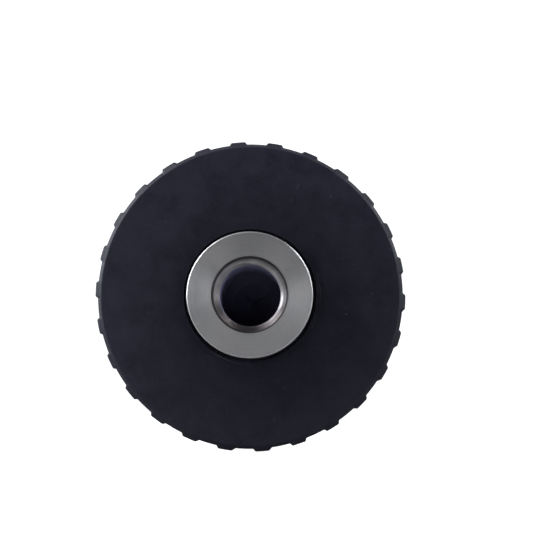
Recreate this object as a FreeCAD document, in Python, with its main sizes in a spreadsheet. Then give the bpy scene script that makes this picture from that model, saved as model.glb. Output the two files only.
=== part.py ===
import FreeCAD, Part
import Sketcher
import math
import os
import re

# Keyless two-sleeve drill chuck, lying with its axis along Y.
# The middle of the hub's rear face is the origin and the jaws point along +Y.
# It is stored with its jaws closed. All sizes are millimetres and degrees.

doc = FreeCAD.newDocument("DrillChuck")
sheet = doc.addObject("Spreadsheet::Sheet", "Dims")
layout = doc.addObject("App::VarSet", "Layout")

# Driving sizes, one alias each in the sheet.
sizes = {
    "sleeve_radius": 21.4,      # over the rib tops
    "nose_y": 62,               # front end of the steel body
    "rib_height": 0.42,
    "rib_count": 26,
    "rib_span": 6.2,            # degrees that one rib takes
    "face_y": 1.6,              # rear face of the plastic, below the hub face
    "lead_in": 0.34,            # taper at the rear edge of the rear sleeve
    "hub_radius": 8.65,
    "ring_gap": 0.45,           # open ring between hub and plastic
    "ring_gap_depth": 1.3,
    "hub_edge": 0.15,
    "sink_radius": 5.3,         # steep recess at the mouth of the spindle thread
    "sink_depth": 1.2,
    "sink_taper": 0.3,
    "minor_radius": 4.235,
    "major_radius": 4.7625,
    "thread_pitch": 1.0583,
    "thread_depth": 11.6,
    "pilot_depth": 16,
    "step_radius": 2.8,         # drilled step below the pilot; it doesn't break through
    "step_depth": 16.6,
    "point_length": 1.7,        # cone that the drill's point leaves
    "front_bore_radius": 6.75,
    "front_bore_y": 20,
    "flange_y": 21.5,
    "flange_length": 4.4,
    "flange_wall": 2.9,
    "journal_wall": 0.5,
    "race_length": 1.7,
    "raceway_depth": 0.35,
    "ball_radius": 1.25,
    "ball_count": 14,
    "cage_length": 1.2,
    "cage_wall": 0.1,
    "nut_length": 6.7,
    "nut_wall": 3.2,
    "collar_wall": 1.85,
    "collar_lip": 0.8,          # collar reaches this far past the nut
    "dog_height": 0.8,
    "dog_span": 14,
    "barrel_radius": 13.9,
    "nose_radius": 12,
    "jaw_circle": 9.35,         # jaw axis from the chuck axis at the nut's rear
    "jaw_radius": 3.25,
    "jaw_short": 0.5,           # closed jaws end this far ahead of the nut's rear face
    "tip_proud": 4,             # closed jaw tips stand out of the nose
    "stored_opening": 0,        # how far back along their bores the jaws stand
    "nose_bevel": 1.5,          # radius of the closed jaws at their front
    "land_radius": 0.4,         # grip land from the chuck axis when closed
    "screw_pitch": 1.8,
    "tooth_depth": 0.9,
    "nose_cone": 3.4,           # length of the cone on the closed jaws
    "split_step": 3,            # the sleeves part this far ahead of the flange's rear
    "sleeve_gap": 0.4,
    "cone_run": 11.4,           # the front sleeve narrows over this length
    "nose_stand": 6.6,          # the body reaches this far out of the front sleeve
    "back_wall": 2.4,
    "cavity_wall": 1.68,
    "boss_radius": 10.6,
    "run_gap": 0.08,            # turning pieces
    "slide_gap": 0.05,          # jaws in their bores
    "fit_gap": 0.01,            # pressed and clamped pieces
    "mesh_gap": 0.12,           # jaw teeth in the nut
}
for row, (alias, value) in enumerate(sizes.items(), start=1):
    sheet.set(f"A{row}", str(value))
    sheet.setAlias(f"A{row}", alias)
doc.recompute()

# Places that follow from the sizes.
places = {
    "race_y": "flange_y + flange_length",
    "ball_y": "race_y + race_length - raceway_depth + ball_radius",
    "race_two_y": "ball_y + ball_radius - raceway_depth",
    "nut_y": "race_two_y + race_length + fit_gap",
    "nut_front": "nut_y + nut_length",
    "apex_y": "nose_y + tip_proud",
    "jaw_tan": "jaw_circle / (apex_y - nut_y)",
    "jaw_cos": "1 / sqrt(1 + jaw_tan * jaw_tan)",
    "jaw_sin": "jaw_tan * jaw_cos",
    "jaw_degrees": "atan(jaw_tan) / 1 deg",
    "jaw_reach": "jaw_radius / jaw_cos",
    "journal_radius": "(apex_y - race_y) * jaw_tan + jaw_reach + journal_wall",
    "flange_radius": "(apex_y - flange_y) * jaw_tan + jaw_reach + flange_wall",
    "race_inner": "journal_radius + run_gap",
    "nut_radius": "(apex_y - nut_y) * jaw_tan + jaw_reach + nut_wall",
    "collar_radius": "nut_radius + collar_wall",
    "race_outer": "max(collar_radius; race_inner + 2 * (ball_radius + run_gap + cage_wall + 0.1))",
    "skirt_radius": "max(flange_radius; race_outer) + run_gap * 2",
    "ball_circle": "(race_inner + race_outer) / 2",
    "crest_drop": "(tooth_depth - mesh_gap) / jaw_cos",
    "crest_rear": "(apex_y - nut_y) * jaw_tan + jaw_reach - crest_drop",
    "crest_front": "(apex_y - nut_front) * jaw_tan + jaw_reach - crest_drop",
    "groove_radius": "crest_front - 0.2",
    "collar_front": "nut_front + collar_lip",
    "root_radius": "sleeve_radius - rib_height",
    "sleeve_split_y": "flange_y + split_step",
    "sleeve_front_y": "nose_y - nose_stand",
    "cone_y": "sleeve_front_y - cone_run",
    "nut_slant": "(apex_y - nut_y + jaw_radius * jaw_sin) / jaw_cos",
    "jaw_length": "nut_slant - jaw_short",
    "first_tooth": "(nose_cone + jaw_radius * jaw_sin) / jaw_cos",
    "thread_turns": "ceil((nut_slant - first_tooth - stored_opening) / screw_pitch) + 0.5",
    "tip_y": "apex_y - stored_opening * jaw_cos",
    "tip_z": "stored_opening * jaw_sin",
}

def bind(text):
    """Name the sheet or the layout in front of each size in a formula."""
    def owner(found):
        word = found.group(0)
        if word in sizes:
            return "Dims." + word
        if word in places:
            return "Layout." + word
        return word
    return re.sub(r"[a-z_]+", owner, text)


for name, formula in places.items():
    layout.addProperty("App::PropertyFloat", name, "Places")
    layout.setExpression(name, bind(formula))
    doc.recompute()


def origin_plane(body, role):
    return [item for item in body.Origin.OriginFeatures if item.Role == role][0]


def pin_point(sketch, edge, end, across, up):
    # A point on an axis can't take a zero distance, so it is put on the axis.
    for kind, formula, axis in (("DistanceX", across, -2), ("DistanceY", up, -1)):
        if formula == "0":
            sketch.addConstraint(Sketcher.Constraint("PointOnObject", edge, end, axis))
        else:
            number = sketch.addConstraint(Sketcher.Constraint(kind, -1, 1, edge, end, 1.0))
            sketch.setExpression(f"Constraints[{number}]", bind(formula))


def draw(body, name, points, axes=(), role="YZ_Plane"):
    """Closed outline from formulas, with construction lines for its axes."""
    sketch = body.newObject("Sketcher::SketchObject", name)
    sketch.AttachmentSupport = [(origin_plane(body, role), "")]
    sketch.MapMode = "FlatFace"
    count = len(points)
    values = [(number_of(across), number_of(up)) for across, up in points]
    for i in range(count):
        start = FreeCAD.Vector(*values[i], 0)
        end = FreeCAD.Vector(*values[(i + 1) % count], 0)
        sketch.addGeometry(Part.LineSegment(start, end))
    for i in range(count):
        sketch.addConstraint(Sketcher.Constraint("Coincident", i, 2, (i + 1) % count, 1))
    for i, (across, up) in enumerate(points):
        pin_point(sketch, i, 1, across, up)
    for axis in axes:
        ends = [FreeCAD.Vector(number_of(across), number_of(up), 0) for across, up in axis]
        edge = sketch.addGeometry(Part.LineSegment(*ends), True)
        pin_point(sketch, edge, 1, *axis[0])
        pin_point(sketch, edge, 2, *axis[1])
    return sketch


def number_of(formula):
    words = {alias: float(value) for alias, value in sizes.items()}
    for name in places:
        words[name] = getattr(layout, name)
    total = re.sub(r"[a-z_]+", lambda found: repr(words[found.group(0)]), formula)
    return FreeCAD.Units.Quantity(total).Value


def volume_after(body, feature, before, grows):
    body.Tip = feature
    doc.recompute()
    change = feature.Shape.Volume - before
    if (change > 0) != grows or abs(change) < 1e-4:
        raise RuntimeError(f"{body.Label}: {feature.Name} changed nothing")
    return feature.Shape.Volume


def make_body(name):
    body = doc.addObject("PartDesign::Body", name)
    body.Label = name
    return body


def turn(body, name, points, kind="Revolution", angle="360", axes=(), axis="H_Axis"):
    """Turned solid or turned cut. The outline is (distance along Y, radius)."""
    before = body.Shape.Volume if body.Tip else 0
    sketch = draw(body, name + "_sketch", points, axes)
    feature = body.newObject("PartDesign::" + kind, name)
    feature.Profile = sketch
    feature.ReferenceAxis = (sketch, [axis])
    feature.Midplane = True
    feature.setExpression("Angle", bind(angle))
    volume_after(body, feature, before, kind == "Revolution")
    return feature, sketch


def repeat_round(body, name, feature, sketch, count):
    before = feature.Shape.Volume
    grows = feature.TypeId == "PartDesign::Revolution"
    pattern = body.newObject("PartDesign::PolarPattern", name)
    pattern.Originals = [feature]
    pattern.Axis = (sketch, ["H_Axis"])
    pattern.Angle = 360
    pattern.setExpression("Occurrences", bind(count))
    volume_after(body, pattern, before, grows)
    return pattern


def slant(along, outward):
    """Point on a jaw: distance back from the apex, and outward from the jaw axis."""
    across = f"apex_y - ({along}) * jaw_cos + ({outward}) * jaw_sin"
    up = f"({along}) * jaw_sin + ({outward}) * jaw_cos"
    return across, up


def thread_tool(body, name, points, pitch, height):
    sketch = draw(body, name + "_sketch", points)
    feature = body.newObject("PartDesign::AdditiveHelix", name)
    feature.Profile = sketch
    feature.ReferenceAxis = (sketch, ["H_Axis"])
    feature.Mode = "pitch-height-angle"
    feature.Angle = 0
    feature.LeftHanded = False
    feature.Reversed = False
    feature.setExpression("Pitch", bind(pitch))
    feature.setExpression("Height", bind(height))
    volume_after(body, feature, 0, True)
    return feature


def cut_away(name, base, tool):
    """A subtraction that must really take something off."""
    result = doc.addObject("Part::Cut", name)
    result.Label = name
    result.Base = base
    result.Tool = tool
    doc.recompute()
    if result.Shape.Volume > base.Shape.Volume - 1e-3:
        raise RuntimeError(f"{name}: nothing was cut")
    return result


# Steel body.
blank = make_body("body_blank")
turn(blank, "outside", [
    ("0", "0"),
    ("0", "hub_radius - hub_edge"),
    ("hub_edge", "hub_radius"),
    ("flange_y", "hub_radius"),
    ("flange_y", "flange_radius"),
    ("race_y", "flange_radius"),
    ("race_y", "journal_radius"),
    ("nut_y - 0.15", "journal_radius"),
    ("nut_y - 0.15", "groove_radius"),
    ("nut_front + 0.15", "groove_radius"),
    ("nut_front + 0.15", "barrel_radius"),
    ("nose_y - 14", "barrel_radius"),
    ("nose_y - 8", "nose_radius"),
    ("nose_y - 0.4", "nose_radius"),
    ("nose_y", "nose_radius - 0.4"),
    ("nose_y", "0"),
])
turn(blank, "front_bore", [
    ("front_bore_y", "0"),
    ("front_bore_y", "front_bore_radius"),
    ("nose_y - 0.6", "front_bore_radius"),
    ("nose_y + 0.4", "front_bore_radius + 1"),
    ("nose_y + 0.4", "0"),
], "Groove")
bore_corners = [
    slant("-2", "0"),
    slant("-2", "jaw_radius + slide_gap"),
    slant("(apex_y - flange_y) / jaw_cos + 2.2", "jaw_radius + slide_gap"),
    slant("(apex_y - flange_y) / jaw_cos + 2.2", "0"),
]
jaw_line = (slant("0", "0"), slant("30", "0"))
bore, bore_sketch = turn(blank, "jaw_bore", bore_corners, "Groove", axes=(jaw_line,), axis="Axis0")
repeat_round(blank, "jaw_bores", bore, bore_sketch, "3")

# The spindle hole is cut in three equal sectors, whose joints stay as edges along its wall.
hole, hole_sketch = turn(blank, "spindle_hole", [
    ("-sink_depth", "0"),
    ("-sink_depth", "sink_radius + sink_taper"),
    ("sink_depth", "sink_radius - sink_taper"),
    ("sink_depth + sink_radius - sink_taper - minor_radius", "minor_radius"),
    ("pilot_depth", "minor_radius"),
    ("pilot_depth", "step_radius"),
    ("step_depth", "step_radius"),
    ("step_depth + point_length", "0"),
], "Groove", angle="120")
hole.Refine = False
holes = repeat_round(blank, "spindle_holes", hole, hole_sketch, "3")
holes.Refine = False
doc.recompute()

# A 60 degree thread: crests a quarter of the pitch wide, and a cut that starts a little inside them.
spindle_tool = make_body("spindle_tool")
thread_tool(spindle_tool, "spindle_thread", [
    ("-0.6 - thread_pitch * 0.377", "minor_radius - 0.05"),
    ("-0.6 - thread_pitch * 0.0625", "major_radius"),
    ("-0.6 + thread_pitch * 0.0625", "major_radius"),
    ("-0.6 + thread_pitch * 0.377", "minor_radius - 0.05"),
], "thread_pitch", "thread_depth")
cut_away("steel_body", blank, spindle_tool)

# Rear sleeve, fixed on the flange and the hub.
rear = make_body("rear_sleeve")
turn(rear, "rear_shell", [
    ("face_y", "hub_radius + ring_gap"),
    ("face_y", "root_radius - lead_in"),
    ("face_y + 0.5", "root_radius"),
    ("sleeve_split_y - 0.3", "root_radius"),
    ("sleeve_split_y", "root_radius - 0.3"),
    ("sleeve_split_y", "flange_radius + fit_gap"),
    ("flange_y - fit_gap", "flange_radius + fit_gap"),
    ("flange_y - fit_gap", "flange_radius - 1"),
    ("flange_y - 1.2", "flange_radius - 1"),
    ("flange_y - 9.5", "root_radius - cavity_wall"),
    ("face_y + back_wall", "root_radius - cavity_wall"),
    ("face_y + back_wall", "boss_radius"),
    ("face_y + back_wall + 4", "boss_radius"),
    ("face_y + back_wall + 4", "hub_radius + fit_gap"),
    ("face_y + ring_gap_depth", "hub_radius + fit_gap"),
    ("face_y + ring_gap_depth", "hub_radius + ring_gap"),
])
rear_rib, rear_rib_sketch = turn(rear, "rear_rib", [
    ("face_y + 0.1", "root_radius - 0.5"),
    ("face_y + 0.1", "root_radius - 0.3"),
    ("face_y + 0.8", "sleeve_radius"),
    ("sleeve_split_y - 1", "sleeve_radius"),
    ("sleeve_split_y - 0.4", "root_radius - 0.1"),
    ("sleeve_split_y - 0.4", "root_radius - 0.5"),
], angle="rib_span")
repeat_round(rear, "rear_ribs", rear_rib, rear_rib_sketch, "rib_count")

# Bearing: two races, a cage and the balls.
for name, side in (("rear_race", -1), ("front_race", 1)):
    race = make_body(name)
    low = "race_y" if side < 0 else "race_two_y"
    turn(race, name + "_ring", [
        (low, "race_inner"),
        (low, "race_outer"),
        (low + " + race_length", "race_outer"),
        (low + " + race_length", "race_inner"),
    ])
    ring = doc.addObject("Part::Torus", name + "_way")
    ring.setExpression("Radius1", bind("ball_circle"))
    ring.setExpression("Radius2", bind("ball_radius + fit_gap"))
    ring.Placement = FreeCAD.Placement(FreeCAD.Vector(0, 0, 0), FreeCAD.Rotation(FreeCAD.Vector(1, 0, 0), -90))
    ring.setExpression("Placement.Base.y", bind("ball_y"))
    doc.recompute()
    race.Label = name + "_blank"
    grooved = cut_away(name + "_grooved", race, ring)
    grooved.Label = name

cage = make_body("cage_blank")
turn(cage, "cage_ring", [
    ("ball_y - cage_length / 2", "race_inner + 0.1"),
    ("ball_y - cage_length / 2", "race_outer - 0.1"),
    ("ball_y + cage_length / 2", "race_outer - 0.1"),
    ("ball_y + cage_length / 2", "race_inner + 0.1"),
])
pockets = []
for number in range(int(sizes["ball_count"])):
    turned = f"{number} * 360 / ball_count"
    where_x = bind(f"ball_circle * sin({turned} * 1 deg)")
    where_z = bind(f"ball_circle * cos({turned} * 1 deg)")
    for kind, extra in (("ball", "0"), ("pocket", "run_gap")):
        name = f"{kind}_{number + 1:02d}"
        sphere = doc.addObject("Part::Sphere", name)
        sphere.Label = name
        sphere.setExpression("Radius", bind(f"ball_radius + {extra}"))
        sphere.setExpression("Placement.Base.x", where_x)
        sphere.setExpression("Placement.Base.y", bind("ball_y"))
        sphere.setExpression("Placement.Base.z", where_z)
        if kind == "pocket":
            pockets.append(sphere)
doc.recompute()
pocket_set = doc.addObject("Part::Compound", "pocket_set")
pocket_set.Links = pockets
doc.recompute()
cut_away("ball_cage", cage, pocket_set)

# Nut: one conical thread, then split in two along a plane through the axis.
nut_blank = make_body("nut_blank")
turn(nut_blank, "nut_ring", [
    ("nut_y", "crest_rear"),
    ("nut_y", "nut_radius"),
    ("nut_front", "nut_radius"),
    ("nut_front", "crest_front"),
])
# The thread starts behind the nut, half a pitch from a tooth gap of the first jaw.
# No feature winds inwards along a cone, so its cutter is swept along a long helix.
start = "stored_opening + first_tooth + screw_pitch * thread_turns"
low_half = "0.285 * screw_pitch + mesh_gap + 0.03"
high_half = "0.145 * screw_pitch + mesh_gap"
low_side = "jaw_radius - tooth_depth + mesh_gap - 0.1"
high_side = "jaw_radius + mesh_gap"
corners = [
    slant(f"{start} - ({low_half})", low_side),
    slant(f"{start} - ({high_half})", high_side),
    slant(f"{start} + {high_half}", high_side),
    slant(f"{start} + {low_half}", low_side),
]
ring_points = [FreeCAD.Vector(0, number_of(across), number_of(up)) for across, up in corners]
path_y, path_radius = [number_of(formula) for formula in slant(start, "jaw_radius - tooth_depth / 2")]
pitch_along = number_of("screw_pitch * jaw_cos")
helix = Part.makeLongHelix(pitch_along, number_of("nut_length + 4"), path_radius, -layout.jaw_degrees)
upright = FreeCAD.Rotation(FreeCAD.Vector(0, 0, 1), FreeCAD.Vector(1, 0, 0), FreeCAD.Vector(0, 1, 0), "ZXY")
helix.Placement = FreeCAD.Placement(FreeCAD.Vector(0, path_y, 0), upright)
sweep = Part.BRepOffsetAPI.MakePipeShell(Part.Wire(helix.Edges))
sweep.setFrenetMode(True)
sweep.add(Part.makePolygon(ring_points + ring_points[:1]))
sweep.build()
sweep.makeSolid()
nut_tool = doc.addObject("Part::Feature", "nut_tool")
nut_tool.Shape = sweep.shape()
nut_whole = cut_away("nut_whole", nut_blank, nut_tool)
for name, side in (("nut_half_a", -1), ("nut_half_b", 1)):
    block = doc.addObject("Part::Box", name + "_block")
    block.Length = 40
    block.Width = 100
    block.Height = 80
    block.setExpression("Placement.Base.x", "-40 + " + bind("fit_gap") if side < 0 else "-" + bind("fit_gap"))
    block.Placement.Base.z = -40
    doc.recompute()
    cut_away(name, nut_whole, block)

# Collar round the nut, with dogs that drive it from the sleeve.
collar = make_body("nut_collar")
turn(collar, "collar_ring", [
    ("nut_y", "nut_radius + fit_gap"),
    ("nut_y", "collar_radius"),
    ("collar_front", "collar_radius"),
    ("collar_front", "nut_radius - 1"),
    ("nut_front + fit_gap", "nut_radius - 1"),
    ("nut_front + fit_gap", "nut_radius + fit_gap"),
])
dog, dog_sketch = turn(collar, "dog", [
    ("collar_front - 4", "collar_radius - 0.5"),
    ("collar_front - 4", "collar_radius + dog_height"),
    ("collar_front", "collar_radius + dog_height"),
    ("collar_front", "collar_radius - 0.5"),
], angle="dog_span")
repeat_round(collar, "dogs", dog, dog_sketch, "6")

# Front sleeve, turns on the barrel.
front = make_body("front_sleeve")
turn(front, "front_shell", [
    ("sleeve_split_y + sleeve_gap", "skirt_radius"),
    ("sleeve_split_y + sleeve_gap", "root_radius - 0.3"),
    ("sleeve_split_y + sleeve_gap + 0.3", "root_radius"),
    ("cone_y", "root_radius"),
    ("cone_y + 6", "root_radius - 2.2"),
    ("sleeve_front_y", "nose_radius + 3.2"),
    ("sleeve_front_y", "nose_radius + 1"),
    ("nose_y - 14", "barrel_radius + run_gap"),
    ("collar_front + 0.1", "barrel_radius + run_gap"),
    ("collar_front + 0.1", "collar_radius + fit_gap"),
    ("nut_y", "collar_radius + fit_gap"),
    ("nut_y", "skirt_radius"),
])
slot, slot_sketch = turn(front, "slot", [
    ("nut_y - 0.5", "collar_radius - 0.5"),
    ("nut_y - 0.5", "collar_radius + dog_height + 0.05"),
    ("collar_front + 0.1", "collar_radius + dog_height + 0.05"),
    ("collar_front + 0.1", "collar_radius - 0.5"),
], "Groove", angle="dog_span + 0.3")
repeat_round(front, "slots", slot, slot_sketch, "6")
front_rib, front_rib_sketch = turn(front, "front_rib", [
    ("sleeve_split_y + sleeve_gap + 0.4", "root_radius - 0.5"),
    ("sleeve_split_y + sleeve_gap + 0.4", "root_radius - 0.1"),
    ("sleeve_split_y + sleeve_gap + 1", "sleeve_radius"),
    ("cone_y - 1", "sleeve_radius"),
    ("cone_y + 2", "root_radius - 0.9"),
    ("cone_y + 2", "root_radius - 1.2"),
    ("cone_y", "root_radius - 0.5"),
], angle="rib_span")
repeat_round(front, "front_ribs", front_rib, front_rib_sketch, "rib_count")

# Nose ring, pressed on the body.
nose = make_body("nose_ring")
turn(nose, "nose_turning", [
    ("sleeve_front_y + 0.1", "nose_radius + fit_gap"),
    ("sleeve_front_y + 0.1", "nose_radius + 2.2"),
    ("sleeve_front_y + 0.4", "nose_radius + 2.5"),
    ("nose_y - 2", "nose_radius + 2.2"),
    ("nose_y - 0.6", "nose_radius + 1.1"),
    ("nose_y - 0.6", "nose_radius + fit_gap"),
])

# Jaws. Each has its teeth a third of a pitch on from the last, to suit one nut thread.
jaws = []
for number in range(3):
    jaw = make_body(f"jaw_{number + 1}")
    jaws.append(jaw)
    turn(jaw, f"rod_{number}", [
        slant("stored_opening", "0"),
        slant("stored_opening", "jaw_radius - 0.5"),
        slant("stored_opening + 0.5", "jaw_radius"),
        slant("stored_opening + jaw_length - 1", "jaw_radius"),
        slant("stored_opening + jaw_length", "jaw_radius - 1"),
        slant("stored_opening + jaw_length", "0"),
    ], axes=(jaw_line,), axis="Axis0")
    land = "land_radius * 1.732 - run_gap"
    land_z = "tip_z + land_radius"
    wide = f"{land} + 8.66"
    wedge = draw(jaw, f"wedge_{number}_sketch", [
        (land, land_z),
        (wide, land_z + " + 5"),
        (wide, "-6"),
        (f"-({wide})", "-6"),
        (f"-({wide})", land_z + " + 5"),
        (f"-({land})", land_z),
    ], role="XZ_Plane")
    before = jaw.Shape.Volume
    pocket = jaw.newObject("PartDesign::Pocket", f"wedge_{number}")
    pocket.Profile = wedge
    pocket.Midplane = True
    pocket.Length = 400
    volume_after(jaw, pocket, before, False)
    # The closed jaws are turned together to a blunt cone.
    turn(jaw, f"cone_{number}", [
        ("tip_y", "0"),
        ("tip_y", "tip_z + nose_bevel"),
        ("tip_y - nose_cone", "tip_z + nose_bevel + 3"),
        ("tip_y - nose_cone", "tip_z + nose_bevel + 8"),
        ("tip_y + 4", "tip_z + nose_bevel + 8"),
        ("tip_y + 4", "0"),
    ], "Groove")
    thirds = (3 - number) % 3
    first = f"stored_opening + first_tooth + {thirds} * screw_pitch / 3"
    gap_line = (slant(first, "jaw_radius")[0], slant(first, "jaw_radius")[1] + " - crest_rear / 2 - crest_front / 2")
    gap_line_end = (gap_line[0] + " + 10", gap_line[1])
    space, space_sketch = turn(jaw, f"space_{number}", [
        slant(f"{first} - 0.185 * screw_pitch", "jaw_radius - tooth_depth"),
        slant(f"{first} - 0.375 * screw_pitch", "jaw_radius + 0.3"),
        slant(f"{first} + 0.375 * screw_pitch", "jaw_radius + 0.3"),
        slant(f"{first} + 0.185 * screw_pitch", "jaw_radius - tooth_depth"),
    ], "Groove", axes=((gap_line, gap_line_end), jaw_line), axis="Axis0")
    before = jaw.Shape.Volume
    teeth_room = number_of(f"jaw_length + stored_opening - ({first})")
    count = math.floor(teeth_room / sizes["screw_pitch"]) + 1
    row = jaw.newObject("PartDesign::LinearPattern", f"teeth_{number}")
    row.Originals = [space]
    row.Direction = (space_sketch, ["Axis1"])
    row.Occurrences = count
    row.setExpression("Length", bind(f"screw_pitch * {count - 1}"))
    volume_after(jaw, row, before, False)
    jaw.Placement = FreeCAD.Placement(FreeCAD.Vector(0, 0, 0), FreeCAD.Rotation(FreeCAD.Vector(0, 1, 0), 120 * number))

# Two ribs of each sleeve are level at the bottom, so the chuck rests on them.
# The collar's dogs stay in the front sleeve's slots.
half_rib = FreeCAD.Rotation(FreeCAD.Vector(0, 1, 0), 180 / sizes["rib_count"])
for turned in (rear, front, collar):
    turned.Placement = FreeCAD.Placement(FreeCAD.Vector(0, 0, 0), half_rib)
doc.recompute()

parts = ["steel_body", "rear_sleeve", "rear_race", "ball_cage", "front_race", "nut_half_a", "nut_half_b"]
parts += ["nut_collar", "front_sleeve", "nose_ring", "jaw_1", "jaw_2", "jaw_3"]
parts += [f"ball_{number + 1:02d}" for number in range(int(sizes["ball_count"]))]
for item in doc.Objects:
    if "Invalid" in item.State or "Error" in item.State:
        raise RuntimeError(f"{item.Label} did not compute: {item.State}")
os.makedirs("parts", exist_ok=True)
for name in parts:
    item = doc.getObjectsByLabel(name)[0]
    shape = item.Shape
    if shape.isNull() or not shape.isValid():
        raise RuntimeError(f"{name} has no valid shape")
    if len(shape.Solids) != 1:
        raise RuntimeError(f"{name} has {len(shape.Solids)} solids")
    box = shape.BoundBox
    print(name, round(shape.Volume, 1), [round(v, 2) for v in (box.XMin, box.YMin, box.ZMin, box.XMax, box.YMax, box.ZMax)])
    shape.exportStep(f"parts/{name}.step")
print("layout", {name: round(getattr(layout, name), 3) for name in places})
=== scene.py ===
import math

import bpy
import numpy as np
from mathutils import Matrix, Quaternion, Vector


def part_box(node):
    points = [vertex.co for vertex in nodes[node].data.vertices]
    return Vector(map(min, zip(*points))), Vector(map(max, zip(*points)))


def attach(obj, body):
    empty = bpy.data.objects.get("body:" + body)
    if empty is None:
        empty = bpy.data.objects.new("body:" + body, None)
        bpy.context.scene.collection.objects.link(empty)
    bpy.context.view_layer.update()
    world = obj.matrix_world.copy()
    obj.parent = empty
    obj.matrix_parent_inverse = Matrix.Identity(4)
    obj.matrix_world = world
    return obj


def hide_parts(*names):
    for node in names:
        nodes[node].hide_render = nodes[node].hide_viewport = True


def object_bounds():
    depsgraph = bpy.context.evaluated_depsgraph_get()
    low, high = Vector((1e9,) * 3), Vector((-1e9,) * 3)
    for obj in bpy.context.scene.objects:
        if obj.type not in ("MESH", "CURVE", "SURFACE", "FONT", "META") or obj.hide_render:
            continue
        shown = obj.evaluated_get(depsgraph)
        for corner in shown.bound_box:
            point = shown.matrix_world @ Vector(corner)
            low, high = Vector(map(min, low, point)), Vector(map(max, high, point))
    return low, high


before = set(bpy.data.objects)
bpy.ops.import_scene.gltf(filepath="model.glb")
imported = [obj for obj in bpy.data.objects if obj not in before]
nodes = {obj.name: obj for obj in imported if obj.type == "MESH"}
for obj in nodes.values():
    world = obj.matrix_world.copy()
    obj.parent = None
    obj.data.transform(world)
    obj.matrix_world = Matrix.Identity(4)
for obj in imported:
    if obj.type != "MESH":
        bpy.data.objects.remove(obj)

# A keyless drill chuck that lies on its ribs, seen from the spindle end. Its axis is Y and its nose is at +Y.
# Lengths in the dictionaries are millimetres, and angles are degrees.

cadBox = [list(corner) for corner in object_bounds()]
mm = 0.001
scene = bpy.context.scene
print("stage: frame loaded,", len(nodes), "nodes")


# Small helpers for wiring nodes. This one makes a node and sets its options.
def addNode(tree, kind, **values):
    node = tree.nodes.new(kind)
    for name, value in values.items():
        setattr(node, name, value)
    return node


# A value that is a socket is linked, and any other is set.
def setIn(tree, node, socket, value):
    if isinstance(value, bpy.types.NodeSocket):
        tree.links.new(value, node.inputs[socket])
    else:
        node.inputs[socket].default_value = value


# One step of arithmetic on one, two or three values.
def mathNode(tree, operation, *values):
    node = addNode(tree, "ShaderNodeMath", operation=operation)
    for i, value in enumerate(values):
        setIn(tree, node, i, value)
    return node.outputs[0]


# Straight or smooth map of a value from one range to another, held at both ends.
def mapRange(tree, value, fromLow, fromHigh, toLow, toHigh, smooth=False):
    node = addNode(tree, "ShaderNodeMapRange", interpolation_type="SMOOTHSTEP" if smooth else "LINEAR")
    names = ("Value", "From Min", "From Max", "To Min", "To Max")
    for name, number in zip(names, (value, fromLow, fromHigh, toLow, toHigh)):
        setIn(tree, node, name, number)
    return node.outputs[0]


# The first color times (1 - factor), plus the second times the factor.
def mixColor(tree, factor, first, second):
    node = addNode(tree, "ShaderNodeMix", data_type="RGBA", blend_type="MIX")
    for i, value in zip((0, 6, 7), (factor, first, second)):
        setIn(tree, node, i, value)
    return node.outputs[2]


# Noise at a place in space, or along one number when dimensions is 1D.
def noise(tree, vector, scale, detail=3.0, roughness=0.5, dimensions="3D"):
    node = addNode(tree, "ShaderNodeTexNoise", noise_dimensions=dimensions)
    setIn(tree, node, "W" if dimensions == "1D" else "Vector", vector)
    setIn(tree, node, "Scale", scale)
    setIn(tree, node, "Detail", detail)
    setIn(tree, node, "Roughness", roughness)
    return node.outputs[0]


# Distance from the Y axis and place along it: sqrt(x * x + z * z), and y.
def radiusAndDepth(tree, place):
    split = addNode(tree, "ShaderNodeSeparateXYZ")
    setIn(tree, split, 0, place)
    x, y, z = split.outputs
    squares = mathNode(tree, "MULTIPLY_ADD", x, x, mathNode(tree, "MULTIPLY", z, z))
    return mathNode(tree, "SQRT", squares), y


# A shared effect: an empty node group with number inputs, each with its usual value, and number outputs.
def newGroup(name, inputs, outputs):
    group = bpy.data.node_groups.new(name, "ShaderNodeTree")
    for label, value in inputs:
        made = group.interface.new_socket(name=label, in_out="INPUT", socket_type="NodeSocketFloat")
        made.default_value = value
    for label in outputs:
        group.interface.new_socket(name=label, in_out="OUTPUT", socket_type="NodeSocketFloat")
    return group, addNode(group, "NodeGroupInput").outputs, addNode(group, "NodeGroupOutput")


# Puts a shared effect in a material, with the values that this material changes.
def placeGroup(tree, group, **values):
    node = addNode(tree, "ShaderNodeGroup", node_tree=group)
    for name, value in values.items():
        setIn(tree, node, name, value)
    return node.outputs


# wander: scale of the slow noise, and wanderDepth how far it bends the line. broadPitch: broad rings per metre.
marksLook = dict(wander=160.0, wanderDepth=0.00004, broadPitch=1500.0)


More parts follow.
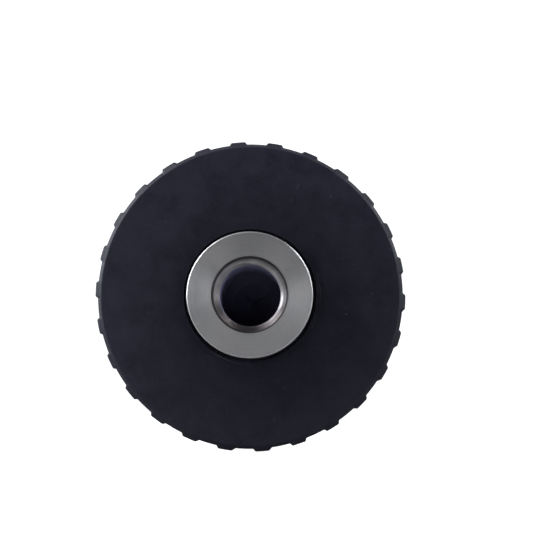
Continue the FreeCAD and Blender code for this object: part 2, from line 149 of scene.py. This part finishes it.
# Tool marks of turning. A line coordinate, the radius or the place along the axis, is bent a little by a slow
# noise and drives two one-way noises: fine rings for height, and a blend of fine and broad rings for tone.
def makeTurnedMarks():
    group, given, result = newGroup(
        "turnedMarks", [("Pitch", 9000.0), ("Along", 0.0), ("Banding", 0.3)], ["Height", "Tone"])
    place = addNode(group, "ShaderNodeTexCoord").outputs["Object"]
    radius, depth = radiusAndDepth(group, place)
    line = mathNode(group, "MULTIPLY_ADD", mathNode(group, "SUBTRACT", depth, radius), given["Along"], radius)
    wander = noise(group, place, marksLook["wander"], 2.0)
    ring = mathNode(group, "MULTIPLY_ADD", wander, marksLook["wanderDepth"], line)
    fine = noise(group, mathNode(group, "MULTIPLY", ring, given["Pitch"]), 1.0, 4.0, 0.7, "1D")
    broad = noise(group, mathNode(group, "MULTIPLY", ring, marksLook["broadPitch"]), 1.0, 3.0, 0.6, "1D")
    gap = mathNode(group, "SUBTRACT", broad, fine)
    setIn(group, result, "Height", fine)
    setIn(group, result, "Tone", mathNode(group, "MULTIPLY_ADD", gap, given["Banding"], fine))
    return group


# flat and bent: cosines of the lean where wear starts and is full. patchFrom and patchTo: the noise values that
# break it up.
wearLook = dict(samples=4, flat=0.995, bent=0.9, patchFrom=0.35, patchTo=0.6, patchLow=0.2)


# Worn edges: how far the rounded normal leans from the true one, broken up by noise.
def makeEdgeWear():
    group, given, result = newGroup("edgeWear", [("Width", 0.0002), ("Break Up", 900.0)], ["Mask"])
    bevel = addNode(group, "ShaderNodeBevel", samples=wearLook["samples"])
    setIn(group, bevel, "Radius", given["Width"])
    dot = addNode(group, "ShaderNodeVectorMath", operation="DOT_PRODUCT")
    setIn(group, dot, 0, bevel.outputs[0])
    setIn(group, dot, 1, addNode(group, "ShaderNodeNewGeometry").outputs["Normal"])
    place = addNode(group, "ShaderNodeTexCoord").outputs["Object"]
    broken = noise(group, place, given["Break Up"], 4.0, 0.6)
    patches = mapRange(group, broken, wearLook["patchFrom"], wearLook["patchTo"], wearLook["patchLow"], 1.0)
    edge = mapRange(group, dot.outputs["Value"], wearLook["flat"], wearLook["bent"], 0.0, 1.0)
    setIn(group, result, "Mask", mathNode(group, "MULTIPLY", edge, patches))
    return group


# middle, slow and speckScale: scales of the noises. fineShare: part of the fine grain in the mottling.
grainLook = dict(middle=1500.0, slow=330.0, fineShare=0.35, speckScale=2600.0, speckFrom=0.76, speckTo=0.8)


# Spark-eroded grain of a moulding: two noises added for height, a slow one for mottling, and rare specks.
def makeMouldedGrain():
    group, given, result = newGroup("mouldedGrain", [("Grain", 4200.0)], ["Height", "Mottle", "Speck"])
    place = addNode(group, "ShaderNodeTexCoord").outputs["Object"]
    fine = noise(group, place, given["Grain"], 3.0, 0.65)
    middle = noise(group, place, grainLook["middle"], 3.0, 0.6)
    halfFine = mathNode(group, "MULTIPLY", fine, 0.5)
    setIn(group, result, "Height", mathNode(group, "MULTIPLY_ADD", middle, 0.5, halfFine))
    share = grainLook["fineShare"]
    slow = mathNode(group, "MULTIPLY", noise(group, place, grainLook["slow"], 5.0, 0.65), 1 - share)
    setIn(group, result, "Mottle", mathNode(group, "MULTIPLY_ADD", fine, share, slow))
    specks = noise(group, place, grainLook["speckScale"], 1.0, 0.4)
    setIn(group, result, "Speck", mapRange(group, specks, grainLook["speckFrom"], grainLook["speckTo"], 0.0, 1.0))
    return group


turnedMarks = makeTurnedMarks()
edgeWear = makeEdgeWear()
mouldedGrain = makeMouldedGrain()
print("stage: shared effects made")


# An empty material with its node tree and its main shader.
def newMaterial(name):
    material = bpy.data.materials.new(name)
    material.use_nodes = True
    tree = material.node_tree
    return material, tree, tree.nodes["Principled BSDF"]


# Leans the shader's normal by the slope of a height, where a height of 1 stands one distance up.
def bump(tree, shader, height, distance):
    node = addNode(tree, "ShaderNodeBump")
    setIn(tree, node, "Distance", distance)
    setIn(tree, node, "Height", height)
    setIn(tree, shader, "Normal", node.outputs[0])


# dark and light: the two tones. rough: smoothest and roughest. pitch: rings per metre. along: 0 for faces,
# 1 for turned sides. banding: broad rings. depth: height of the marks. wear: bright edges. stain: brown film.
steelLook = {
    "bodySteel": dict(dark=(0.34, 0.335, 0.34, 1), light=(0.50, 0.495, 0.51, 1), rough=(0.28, 0.40), pitch=14000.0,
                      along=0.0, banding=0.2, depth=0.009, wear=0.12, stain=0.18),
    "ringSteel": dict(dark=(0.34, 0.35, 0.36, 1), light=(0.50, 0.51, 0.53, 1), rough=(0.24, 0.38), pitch=9000.0,
                      along=1.0, banding=0.35, depth=0.004, wear=0.5, stain=0.12),
    "jawSteel": dict(dark=(0.20, 0.195, 0.19, 1), light=(0.34, 0.33, 0.32, 1), rough=(0.28, 0.44), pitch=7000.0,
                     along=1.0, banding=0.3, depth=0.003, wear=0.6, stain=0.3),
    "raceSteel": dict(dark=(0.40, 0.40, 0.41, 1), light=(0.55, 0.56, 0.57, 1), rough=(0.16, 0.30), pitch=12000.0,
                      along=0.0, banding=0.3, depth=0.002, wear=0.3, stain=0.15),
    "nutSteel": dict(dark=(0.10, 0.095, 0.09, 1), light=(0.24, 0.23, 0.22, 1), rough=(0.30, 0.50), pitch=8000.0,
                     along=1.0, banding=0.4, depth=0.004, wear=0.5, stain=0.4),
    "collarSteel": dict(dark=(0.30, 0.30, 0.31, 1), light=(0.46, 0.46, 0.47, 1), rough=(0.26, 0.42), pitch=9000.0,
                        along=1.0, banding=0.4, depth=0.004, wear=0.5, stain=0.2),
    "ballSteel": dict(dark=(0.54, 0.54, 0.56, 1), light=(0.66, 0.66, 0.68, 1), rough=(0.06, 0.14), pitch=3000.0,
                      along=0.0, banding=0.2, depth=0.0004, wear=0.0, stain=0.08),
    "cageBrass": dict(dark=(0.42, 0.28, 0.09, 1), light=(0.72, 0.52, 0.22, 1), rough=(0.24, 0.42), pitch=9000.0,
                      along=0.0, banding=0.3, depth=0.003, wear=0.3, stain=0.3),
}
# Painted shade, with some old oil, keeps the spindle hole dark: within a radius, it starts and is full at these
# depths. Its mouth, between a place just inside the face and that start, gets a brown film of painted shade and oil.
holeShadeAndOil = dict(radius=5.32, mouth=0.08, start=1.95, full=3.2, end=19.5, mouthShadeShare=0.76,
                film=(0.075, 0.062, 0.064, 1), color=(0.16, 0.16, 0.25, 1))
# wearWidth: reach of the bright edges, in metres. filmScale: scale of the oil film's noise. turned and turnedWay:
# how strongly and which way a turned face stretches its highlights. oilyRough: roughness of the old oil.
metalLook = dict(wearWidth=0.00015, filmScale=220.0, stained=(0.16, 0.12, 0.085, 1), worn=(0.8, 0.8, 0.82, 1),
                 turned=0.6, turnedWay=0.25, oilyRough=0.75)


# Turned metal: two tones mixed by the turning marks, a brown film where a slow noise is high, and paler edges.
# Roughness rises with the marks' tone plus the film. The body also gets painted shade, with some old oil, inside its
# spindle hole.
def turnedMetal(name, look):
    material, tree, shader = newMaterial(name)
    marks = placeGroup(tree, turnedMarks, Pitch=look["pitch"], Along=look["along"], Banding=look["banding"])
    wear = placeGroup(tree, edgeWear, Width=metalLook["wearWidth"])["Mask"]
    place = addNode(tree, "ShaderNodeTexCoord").outputs["Object"]
    film = noise(tree, place, metalLook["filmScale"], 4.0, 0.6)
    base = mixColor(tree, mapRange(tree, marks["Tone"], 0.3, 0.7, 0.0, 1.0), look["dark"], look["light"])
    filmed = mixColor(tree, mapRange(tree, film, 0.45, 0.75, 0.0, look["stain"]), base, metalLook["stained"])
    color = mixColor(tree, mathNode(tree, "MULTIPLY", wear, look["wear"]), filmed, metalLook["worn"])
    rough = mapRange(tree, mathNode(tree, "ADD", marks["Tone"], film), 0.7, 1.3, look["rough"][0], look["rough"][1])
    if name == "bodySteel":
        # Painted shade: the spindle hole darkens with depth, and its mouth takes a brownish film, where little light
        # reaches; old oil adds to it.
        radius, depth = radiusAndDepth(tree, place)
        near = mathNode(tree, "LESS_THAN", radius, holeShadeAndOil["radius"] * mm)
        deep = mapRange(tree, depth, holeShadeAndOil["start"] * mm, holeShadeAndOil["full"] * mm, 0.0, 1.0, True)
        inside = mathNode(tree, "MULTIPLY", mathNode(tree, "LESS_THAN", depth, holeShadeAndOil["end"] * mm), near)
        shadedAndOily = mathNode(tree, "MULTIPLY", inside, deep)
        atMouth = mathNode(tree, "MULTIPLY", inside, mathNode(tree, "GREATER_THAN", depth, holeShadeAndOil["mouth"] * mm))
        mouthShadeAndFilm = mapRange(tree, film, 0.3, 0.6, 0.4, holeShadeAndOil["mouthShadeShare"])
        color = mixColor(tree, mathNode(tree, "MULTIPLY", atMouth, mouthShadeAndFilm), color, holeShadeAndOil["film"])
        color = mixColor(tree, shadedAndOily, color, holeShadeAndOil["color"])
        rough = mapRange(tree, shadedAndOily, 0.0, 1.0, rough, metalLook["oilyRough"])
    setIn(tree, shader, "Base Color", color)
    shader.inputs["Metallic"].default_value = 1.0
    if look["along"] == 0.0:
        # Turned faces stretch a highlight into a fan, because their marks run round the axis.
        shader.inputs["Anisotropic"].default_value = metalLook["turned"]
        shader.inputs["Anisotropic Rotation"].default_value = metalLook["turnedWay"]
        tangent = addNode(tree, "ShaderNodeTangent", direction_type="RADIAL", axis="Y")
        setIn(tree, shader, "Tangent", tangent.outputs[0])
    setIn(tree, shader, "Roughness", rough)
    bump(tree, shader, marks["Height"], look["depth"] * mm)
    return material


# dark and light: tones, and paintedLight: the paler tone of painted light. lightFrom and lightTo: distances from
# darkestPlace.
# mottleLow and mottleHigh: noise values at the two tones. scuffFrom and scuffTo: radii, and scuffDepth: how far
# behind the face scuffs can lie.
plasticLook = dict(
    dark=(0.0008, 0.0008, 0.0040, 1), light=(0.0024, 0.0024, 0.0072, 1), paintedLight=(0.0090, 0.0090, 0.0165, 1),
    darkestPlace=(4.0, 0.0, -4.0), lightFrom=8.5, lightTo=24.0, worn=(0.026, 0.030, 0.036, 1),
    scuffed=(0.10, 0.10, 0.11, 1), scuffFrom=9.3, scuffTo=12.4, rough=(0.40, 0.52), grainDepth=0.026, specular=0.16,
    wearWidth=0.00022, wornShare=0.4, mottleLow=0.36, mottleHigh=0.64, lightLow=0.6, lightHigh=1.3, speckShare=0.2,
    speck=(0.14, 0.14, 0.15, 1), scuffDepth=1.8, scuffShare=0.5, wobbleScale=90.0, wobble=1.2, ringPitch=5200.0,
    ringFrom=0.66, ringTo=0.74, patchScale=170.0, patchFrom=0.56, patchTo=0.66)


# Near-black moulding: mottled tone, painted light that grows with the distance from a place at the lower right, dust
# specks, paler edges, and scuffs round the hub. A scuff shows where a fine ring noise and a slow patch noise are
# both high, within a band of radius on the rear face.
def mouldedPlastic(name, look):
    material, tree, shader = newMaterial(name)
    grain = placeGroup(tree, mouldedGrain, Grain=4200.0)
    wear = placeGroup(tree, edgeWear, Width=look["wearWidth"])["Mask"]
    place = addNode(tree, "ShaderNodeTexCoord").outputs["Object"]
    radius, depth = radiusAndDepth(tree, place)
    mottled = mapRange(tree, grain["Mottle"], look["mottleLow"], look["mottleHigh"], 0.0, 1.0)
    base = mixColor(tree, mottled, look["dark"], look["light"])
    # Painted light: the face gets a paler tone the farther it lies from a place at its lower right, patchy with the
    # mottling.
    away = addNode(tree, "ShaderNodeVectorMath", operation="DISTANCE")
    setIn(tree, away, 0, place)
    setIn(tree, away, 1, [value * mm for value in look["darkestPlace"]])
    paintedLight = mapRange(tree, away.outputs["Value"], look["lightFrom"] * mm, look["lightTo"] * mm, 0.0, 1.0)
    patchyLight = mapRange(tree, grain["Mottle"], look["mottleLow"], look["mottleHigh"], look["lightLow"], look["lightHigh"])
    paintedLit = mixColor(tree, mathNode(tree, "MULTIPLY", paintedLight, patchyLight), base, look["paintedLight"])
    dotted = mixColor(tree, mathNode(tree, "MULTIPLY", grain["Speck"], look["speckShare"]), paintedLit, look["speck"])
    worn = mixColor(tree, mathNode(tree, "MULTIPLY", wear, look["wornShare"]), dotted, look["worn"])
    wobble = noise(tree, place, look["wobbleScale"], 2.0)
    bent = mathNode(tree, "MULTIPLY_ADD", wobble, look["wobble"] * mm, radius)
    ringNoise = noise(tree, mathNode(tree, "MULTIPLY", bent, look["ringPitch"]), 1.0, 2.0, 0.5, "1D")
    rings = mapRange(tree, ringNoise, look["ringFrom"], look["ringTo"], 0.0, 1.0)
    patchNoise = noise(tree, place, look["patchScale"], 3.0, 0.6)
    patches = mapRange(tree, patchNoise, look["patchFrom"], look["patchTo"], 0.0, 1.0)
    band = mapRange(tree, radius, look["scuffTo"] * mm, look["scuffFrom"] * mm, 0.0, 1.0)
    onFace = mathNode(tree, "LESS_THAN", depth, look["scuffDepth"] * mm)
    scuff = look["scuffShare"]
    for value in (rings, patches, band, onFace):
        scuff = mathNode(tree, "MULTIPLY", value, scuff)
    setIn(tree, shader, "Base Color", mixColor(tree, scuff, worn, look["scuffed"]))
    shader.inputs["Specular IOR Level"].default_value = look["specular"]
    setIn(tree, shader, "Roughness", mapRange(tree, grain["Mottle"], 0.3, 0.7, look["rough"][0], look["rough"][1]))
    bump(tree, shader, grain["Height"], look["grainDepth"] * mm)
    return material


finishes = {name: turnedMetal(name, look) for name, look in steelLook.items()}
finishes["sleevePlastic"] = mouldedPlastic("sleevePlastic", plasticLook)
print("stage: finishes made")


# Gives each named piece one finish and no other.
def dress(nodeNames, finish):
    for name in nodeNames:
        mesh = nodes[name].data
        mesh.materials.clear()
        mesh.materials.append(finishes[finish])


dress(["steel_body"], "bodySteel")
dress(["nose_ring"], "ringSteel")
dress(["jaw_1", "jaw_2", "jaw_3"], "jawSteel")
dress(["rear_race", "front_race"], "raceSteel")
dress(["nut_half_a", "nut_half_b"], "nutSteel")
dress(["nut_collar"], "collarSteel")
dress(["ball_cage"], "cageBrass")
dress([name for name in nodes if name.startswith("ball_") and name != "ball_cage"], "ballSteel")
dress(["rear_sleeve", "front_sleeve"], "sleevePlastic")
print("stage: metal pieces dressed")


# Closed outline with rounded corners. Each corner (y, r, size) becomes a curve between the points that lie one
# size along its two sides: (1 - t)^2 of the first, 2 t (1 - t) of the corner and t^2 of the second.
def roundedLoop(corners, arcSteps=4):
    points = np.array([corner[:2] for corner in corners], float)
    sizes = np.array([corner[2] for corner in corners], float)
    before = np.roll(points, 1, axis=0) - points
    after = np.roll(points, -1, axis=0) - points
    lengthBefore = np.linalg.norm(before, axis=1)
    lengthAfter = np.linalg.norm(after, axis=1)
    reach = np.minimum(sizes, 0.45 * np.minimum(lengthBefore, lengthAfter))
    start = points + before / lengthBefore[:, None] * reach[:, None]
    end = points + after / lengthAfter[:, None] * reach[:, None]
    t = np.linspace(0, 1, arcSteps + 1)[None, :, None]
    arcs = (1 - t) ** 2 * start[:, None] + 2 * t * (1 - t) * points[:, None] + t ** 2 * end[:, None]
    return arcs.reshape(-1, 2)


# Long runs of an outline are divided evenly, so that no step is longer than the one given.
def fillLoop(loop, longest):
    gaps = np.linalg.norm(np.roll(loop, -1, axis=0) - loop, axis=1)
    counts = np.maximum(1, np.ceil(gaps / longest)).astype(int)
    index = np.repeat(np.arange(len(loop)), counts)
    share = (np.arange(len(index)) - np.repeat(np.cumsum(counts) - counts, counts)) / counts[index]
    return loop[index] + (loop[(index + 1) % len(loop)] - loop[index]) * share[:, None]


# Smooth step from 0 to 1: v * v * (3 - 2 v).
def smoothStep(value):
    value = np.clip(value, 0, 1)
    return value * value * (3 - 2 * value)


# Mesh of a grid that closes both ways: row i and column j are joined to the next row and column, round and round.
def closedSurface(name, x, y, z, material):
    rows, columns = x.shape
    spots = np.stack([x, y, z], axis=-1).reshape(-1, 3)
    i, j = np.meshgrid(np.arange(rows), np.arange(columns), indexing="ij")
    nextI, nextJ = (i + 1) % rows, (j + 1) % columns
    faces = np.stack([i * columns + j, i * columns + nextJ, nextI * columns + nextJ, nextI * columns + j], axis=-1)
    mesh = bpy.data.meshes.new(name)
    mesh.from_pydata(spots, [], faces.reshape(-1, 4))
    mesh.update()
    mesh.shade_smooth()
    mesh.materials.append(material)
    piece = bpy.data.objects.new(name, mesh)
    scene.collection.objects.link(piece)
    return piece


# count: ribs round a sleeve. top and root: radii. halfTop and halfFoot: angles from a rib's middle to the edge
# of its flat top and to its foot. skin: how far inside the root the ribs still act. margin and flankColumns: the
# columns on a flank. topColumns and gapColumns: angles of the others, from the rib's middle and from its foot.
ribLook = dict(count=26, top=21.39, root=20.98, halfTop=2.4, halfFoot=3.45, skin=1.2, margin=0.25, flankColumns=8,
               topColumns=(0.6, 1.4), gapColumns=(1.2, 2.3))


# Angles of a sleeve's columns: in every rib's share of the turn the columns crowd where the flanks are.
def sleeveAngles():
    half, top, foot = 180 / ribLook["count"], ribLook["halfTop"], ribLook["halfFoot"]
    flank = np.linspace(top - ribLook["margin"], foot + ribLook["margin"], ribLook["flankColumns"])
    side = np.concatenate([ribLook["topColumns"], flank, foot + np.array(ribLook["gapColumns"])])
    offsets = np.concatenate([[-half], -side[::-1], [0.0], side])
    middles = (np.arange(ribLook["count"]) + 0.5) * 2 * half
    return np.radians((middles[:, None] + offsets[None, :]).ravel())


# Ribbed sleeve: an outline carried round the axis. The radius is the outline's, plus the rib height times the
# rib's section (a smooth step from flat top to foot) times a smooth ramp at both of the ribs' ends.
def ribbedSleeve(name, corners, look, cutDeeper=None):
    loop = fillLoop(roundedLoop(corners), 1.0)
    angle = sleeveAngles()
    pitch = 2 * np.pi / ribLook["count"]
    off = np.degrees(np.abs(angle % pitch - pitch / 2))
    section = smoothStep((ribLook["halfFoot"] - off) / (ribLook["halfFoot"] - ribLook["halfTop"]))
    along = loop[:, 0]
    ramp = smoothStep((along - look["ribStart"]) / look["startRamp"])
    ramp = ramp * smoothStep((look["ribEnd"] - along) / look["endRamp"])
    ramp = ramp * (loop[:, 1] > ribLook["root"] - ribLook["skin"])
    height = ribLook["top"] - ribLook["root"]
    radius = loop[:, 1:] + height * ramp[:, None] * section[None, :]
    if cutDeeper is not None:
        radius = radius + cutDeeper(loop, angle)
    x, z = radius * np.sin(angle) * mm, radius * np.cos(angle) * mm
    y = np.repeat(loop[:, :1], len(angle), axis=1) * mm
    return closedSurface(name, x, y, z, finishes["sleevePlastic"])


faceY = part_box("rear_sleeve")[0].y / mm
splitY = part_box("rear_sleeve")[1].y / mm
# Radii and places along the axis. ringGap and gapDepth: the open ring round the hub. leadIn and leadLength: slope
# from the face to the side. fit: what the sleeve stands off the hub.
rearLook = dict(hubRadius=8.65, ringGap=0.45, gapDepth=1.3, leadIn=0.46, edge=0.12, flangeRadius=18.20, flangeY=21.49,
                lipRadius=17.19, hollowRadius=19.3, hollowEnd=12.0, bossRadius=10.6, bossEnd=6.4, backWall=2.4,
                lipLength=1.19, leadLength=0.5, splitEdge=0.4, fit=0.01,
                ribStart=faceY + 0.1, startRamp=0.7, ribEnd=splitY - 0.3, endRamp=0.7)


# Outline of the rear sleeve: its face, ribbed side, flange seat, lip and hollow, and the boss round the hub.
def makeRearSleeve(look):
    root = ribLook["root"]
    gapRadius = look["hubRadius"] + look["ringGap"]
    corners = [
        # y, radius, corner size
        (faceY, gapRadius, 0.12),
        (faceY, root - look["leadIn"], look["edge"]),
        (faceY + look["leadLength"], root, 0.12),
        (splitY - look["splitEdge"], root, 0.25),
        (splitY, root - look["splitEdge"], 0.15),
        (splitY, look["flangeRadius"], 0.1),
        (look["flangeY"], look["flangeRadius"], 0.05),
        (look["flangeY"], look["lipRadius"], 0.2),
        (look["flangeY"] - look["lipLength"], look["lipRadius"], 0.2),
        (look["hollowEnd"], look["hollowRadius"], 1.0),
        (faceY + look["backWall"], look["hollowRadius"], 0.6),
        (faceY + look["backWall"], look["bossRadius"], 0.4),
        (faceY + look["bossEnd"], look["bossRadius"], 0.3),
        (faceY + look["bossEnd"], look["hubRadius"] + look["fit"], 0.1),
        (faceY + look["gapDepth"], look["hubRadius"] + look["fit"], 0.05),
        (faceY + look["gapDepth"], gapRadius, 0.05),
    ]
    return ribbedSleeve("rearSleeveShell", corners, look)


rearSleeve = makeRearSleeve(rearLook)
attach(rearSleeve, "chuck_body")
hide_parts("rear_sleeve")

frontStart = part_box("front_sleeve")[0].y / mm
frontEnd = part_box("front_sleeve")[1].y / mm
# Radii and places along the axis. slotHalf and slotFlank: half width of a pocket and of its side, in degrees.
frontLook = dict(skirtRadius=18.35, coneStart=44.0, coneEnd=50.0, coneRadius=18.78, boreRadius=13.98,
                 mouthRadius=13.0,
                 collarRadius=17.775, collarFrom=31.11, collarTo=38.71, slots=6, slotHalf=7.3, slotDepth=0.84,
                 slotFlank=0.4, slack=0.1, splitEdge=0.4, lipRadius=15.35, lipEdge=14.9, lipLength=0.1, boreEnd=48.0,
                 ribStart=frontStart + 0.25, startRamp=0.7, ribEnd=46.2, endRamp=2.6)


# Six pockets for the collar's dogs: the bore goes deeper where the angle from a pocket's middle is small.
def collarSlots(loop, angle):
    share = 2 * np.pi / frontLook["slots"]
    away = np.degrees(np.abs((angle - np.pi / ribLook["count"] + share / 2) % share - share / 2))
    inSlot = smoothStep((frontLook["slotHalf"] - away) / frontLook["slotFlank"])
    inBore = np.abs(loop[:, 1] - frontLook["collarRadius"]) < 0.02
    inBore = inBore & (loop[:, 0] > frontLook["collarFrom"] - frontLook["slack"])
    inBore = inBore & (loop[:, 0] < frontLook["collarTo"] + frontLook["slack"])
    return frontLook["slotDepth"] * inBore[:, None] * inSlot[None, :]


# Outline of the front sleeve: its start at the split, ribbed side, cone, mouth, bore and the collar's pocket.
def makeFrontSleeve(look):
    root = ribLook["root"]
    corners = [
        (frontStart, look["skirtRadius"], 0.1),
        (frontStart, root - look["splitEdge"], 0.15),
        (frontStart + look["splitEdge"], root, 0.25),
        (look["coneStart"], root, 2.5),
        (look["coneEnd"], look["coneRadius"], 2.5),
        (frontEnd - look["lipLength"], look["lipRadius"], 0.5),
        (frontEnd, look["lipEdge"], 0.3),
        (frontEnd, look["mouthRadius"], 0.15),
        (look["boreEnd"], look["boreRadius"], 0.3),
        (look["collarTo"], look["boreRadius"], 0.1),
        (look["collarTo"], look["collarRadius"], 0.1),
        (look["collarFrom"], look["collarRadius"], 0.05),
        (look["collarFrom"], look["skirtRadius"], 0.05),
    ]
    return ribbedSleeve("frontSleeveShell", corners, look, collarSlots)


frontSleeve = makeFrontSleeve(frontLook)
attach(frontSleeve, "sleeve")
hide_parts("front_sleeve")
print("stage: sleeves made,", len(rearSleeve.data.polygons), "and", len(frontSleeve.data.polygons), "faces")

# Metres here: half width of the paper, where its bend starts, its height and the radius of the bend.
paperLook = dict(halfWidth=1.6, wallDistance=0.9, wallHeight=1.2, bend=0.35, bendSteps=24,
                 color=(0.45, 0.45, 0.45, 1), rough=0.9, specular=0.1, glow=1.0)


# Paper sweep: a flat run, a quarter circle upwards, then a straight run up. The floor is at the chuck's lowest point.
def makePaper(look):
    low = cadBox[0][2]
    t = np.linspace(0, np.pi / 2, look["bendSteps"])
    bend = look["bend"]
    y = np.concatenate([[-look["halfWidth"]], look["wallDistance"] + bend * np.sin(t), [look["wallDistance"] + bend]])
    z = np.concatenate([[low], low + bend * (1 - np.cos(t)), [low + look["wallHeight"]]])
    x = np.array([-look["halfWidth"], look["halfWidth"]])
    spots = np.stack(np.broadcast_arrays(x[None, :], y[:, None], z[:, None]), axis=-1).reshape(-1, 3)
    row = np.arange(len(y) - 1)
    faces = np.stack([row * 2, row * 2 + 1, row * 2 + 3, row * 2 + 2], axis=-1)
    mesh = bpy.data.meshes.new("studioPaper")
    mesh.from_pydata(spots, [], faces)
    mesh.update()
    mesh.shade_smooth()
    material, tree, shader = newMaterial("paper")
    shader.inputs["Base Color"].default_value = look["color"]
    shader.inputs["Roughness"].default_value = look["rough"]
    shader.inputs["Specular IOR Level"].default_value = look["specular"]
    shader.inputs["Emission Color"].default_value = (1, 1, 1, 1)
    # The paper glows for the lens only, so it looks white but lights the chuck no more than lit paper would.
    path = addNode(tree, "ShaderNodeLightPath")
    setIn(tree, shader, "Emission Strength", mathNode(tree, "MULTIPLY", path.outputs["Is Camera Ray"], look["glow"]))
    mesh.materials.append(material)
    paper = bpy.data.objects.new("studioPaper", mesh)
    scene.collection.objects.link(paper)


# fill: the room's own light on the chuck. backdrop: how bright the room looks to the lens.
roomLook = dict(fill=0.055, backdrop=1.6)


# The room is white. It is bright to the lens and dim to everything else: one value or the other by kind of ray.
def makeRoom(look):
    world = bpy.data.worlds.new("studioRoom")
    world.use_nodes = True
    tree = world.node_tree
    path = addNode(tree, "ShaderNodeLightPath")
    strength = mapRange(tree, path.outputs["Is Camera Ray"], 0, 1, look["fill"], look["backdrop"])
    setIn(tree, tree.nodes["Background"], "Color", (1, 1, 1, 1))
    setIn(tree, tree.nodes["Background"], "Strength", strength)
    scene.world = world


# place and size in metres, power in watts.
lightLook = {
    "topBox": dict(place=(-0.05, 0.12, 0.60), size=(0.9, 0.36), power=1.8, color=(0.92, 0.96, 1.0)),
    "leftBox": dict(place=(-0.55, 0.08, 0.20), size=(0.30, 0.45), power=4.6, color=(0.88, 0.94, 1.0)),
    "rightBox": dict(place=(0.50, 0.08, 0.34), size=(0.30, 0.40), power=3.0, color=(0.88, 0.94, 1.0)),
    "frontLeft": dict(place=(-0.62, -0.42, 0.10), size=(0.28, 0.30), power=4.7, color=(0.94, 0.97, 1.0)),
    "frontRight": dict(place=(0.62, -0.42, 0.06), size=(0.28, 0.30), power=3.5, color=(0.94, 0.97, 1.0)),
    "nearKey": dict(place=(-0.16, -0.07, 0.16), size=(0.12, 0.12), power=0.36, color=(1.0, 0.98, 0.97)),
    "highRight": dict(place=(0.22, -0.20, 0.30), size=(0.12, 0.12), power=0.5, color=(1.0, 0.98, 0.97)),
}


# A soft box is turned so that it faces the middle of the chuck's rear face.
def makeLight(name, look):
    data = bpy.data.lights.new(name, "AREA")
    data.shape = "RECTANGLE"
    data.size, data.size_y = look["size"]
    data.energy = look["power"]
    data.color = look["color"]
    light = bpy.data.objects.new(name, data)
    light.location = look["place"]
    light.visible_camera = False
    light.rotation_mode = "QUATERNION"
    light.rotation_quaternion = (-Vector(look["place"])).to_track_quat("-Z", "Y")
    scene.collection.objects.link(light)


# distance in metres from the face, right and up: the angles that the lens stands off the axis, roll: the lean
# of the picture, aimRight and aimUp: where the lens points, from the middle of the face.
lensLook = dict(distance=0.24, right=2.0, up=-3.6, roll=2.43, focal=118.0, aimRight=2.34, aimUp=3.88, middleY=0.0014,
                sensor=36, nearest=0.01, farthest=20)


# The lens stands on a line that leans from the axis by right and up, and looks at a point moved across and upright.
def makeCamera(look):
    right, up, roll = (math.radians(look[name]) for name in ("right", "up", "roll"))
    back = Vector((math.sin(right) * math.cos(up), -math.cos(right) * math.cos(up), math.sin(up)))
    middle = Vector((0, look["middleY"], 0))
    across = Vector((math.cos(roll), 0, math.sin(roll)))
    upright = Vector((-math.sin(roll), 0, math.cos(roll)))
    aim = middle + (across * look["aimRight"] + upright * look["aimUp"]) * mm
    data = bpy.data.cameras.new("camera")
    data.lens = look["focal"]
    data.sensor_width = look["sensor"]
    data.clip_start, data.clip_end = look["nearest"], look["farthest"]
    camera = bpy.data.objects.new("camera", data)
    camera.location = middle + back * look["distance"]
    camera.rotation_mode = "QUATERNION"
    camera.rotation_quaternion = (aim - camera.location).to_track_quat("-Z", "Y") @ Quaternion((0, 0, 1), roll)
    scene.collection.objects.link(camera)
    scene.camera = camera


makePaper(paperLook)
makeRoom(roomLook)
for name, look in lightLook.items():
    makeLight(name, look)
makeCamera(lensLook)
scene.view_settings.view_transform = "Standard"
print("stage: studio made")
